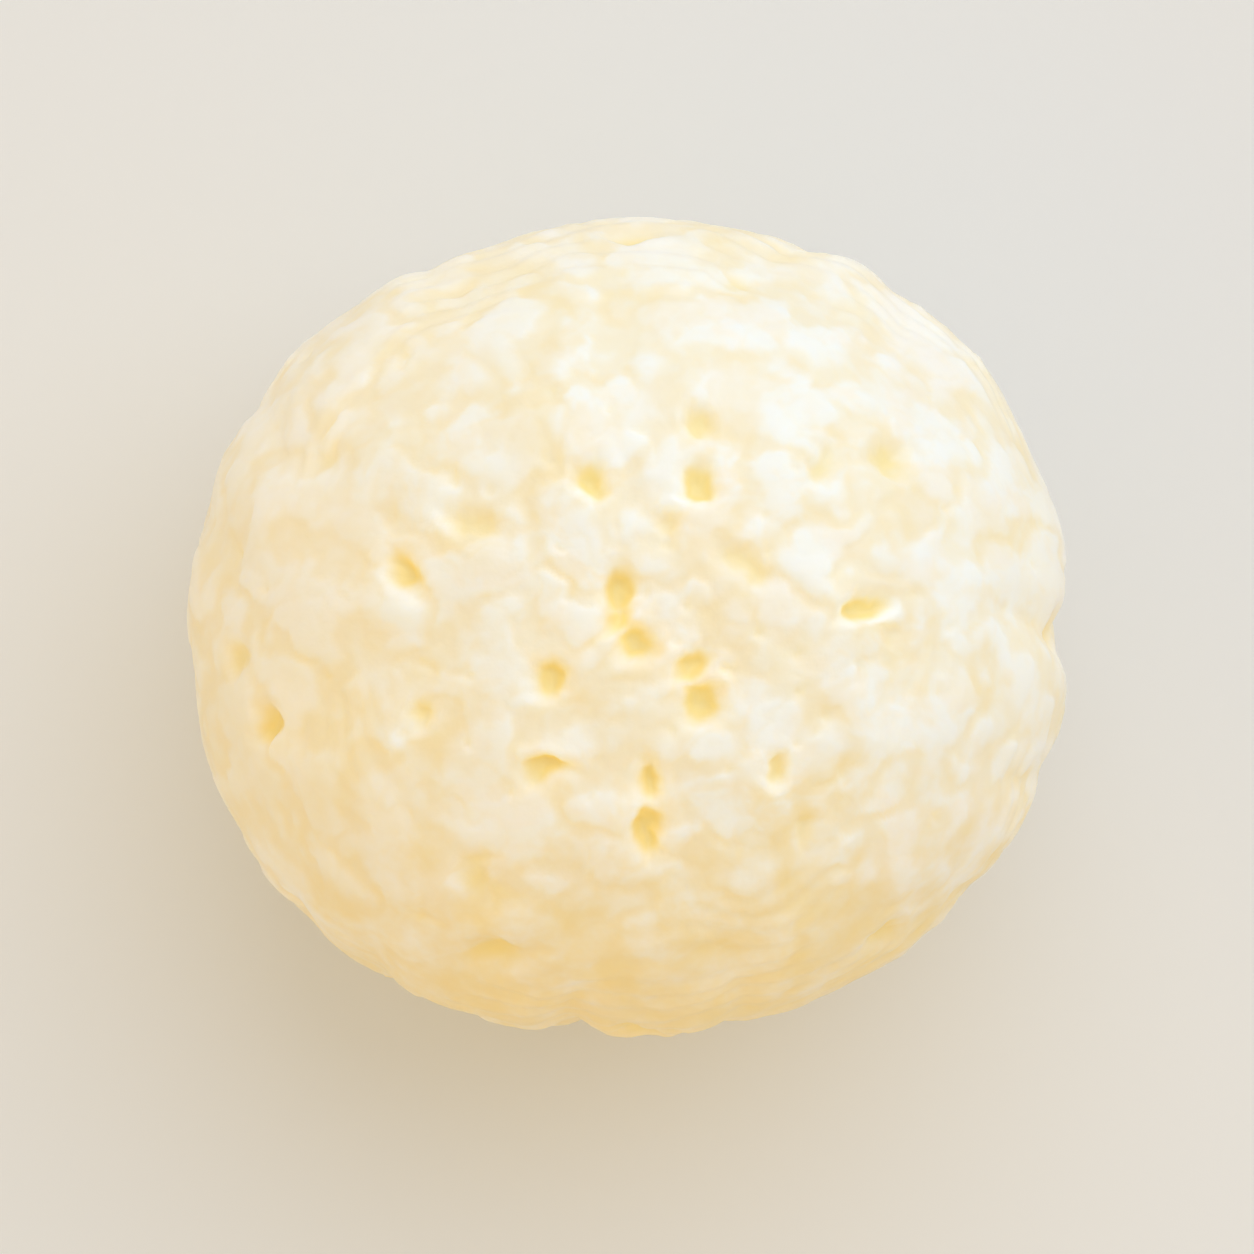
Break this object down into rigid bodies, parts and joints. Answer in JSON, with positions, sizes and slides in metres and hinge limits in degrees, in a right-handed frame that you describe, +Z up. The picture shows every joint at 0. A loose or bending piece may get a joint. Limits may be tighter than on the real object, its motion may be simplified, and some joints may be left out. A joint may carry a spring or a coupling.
{
  "type": "puffed cereal ball",
  "caption": "Small airy ball of puffed corn cereal with two broad faces, a groove round its waist, side creases and burst-bubble pits, resting on a small flat spot.",
  "frame": {"origin": "middle of the small flat spot that the ball rests on, on the resting surface", "axes": "+Z up out of the pitted upper face, across the ball's shortest way; +X along its longest way"},
  "size_m": [0.0132, 0.0124, 0.0106],
  "materials": {
    "puffed_corn": "dry puffed corn, pale cream, yellower in its pits and creases, with a soft satin sheen"
  },
  "bodies": {
    "root": {"puff": "puffed_corn"}
  },
  "joints": []
}
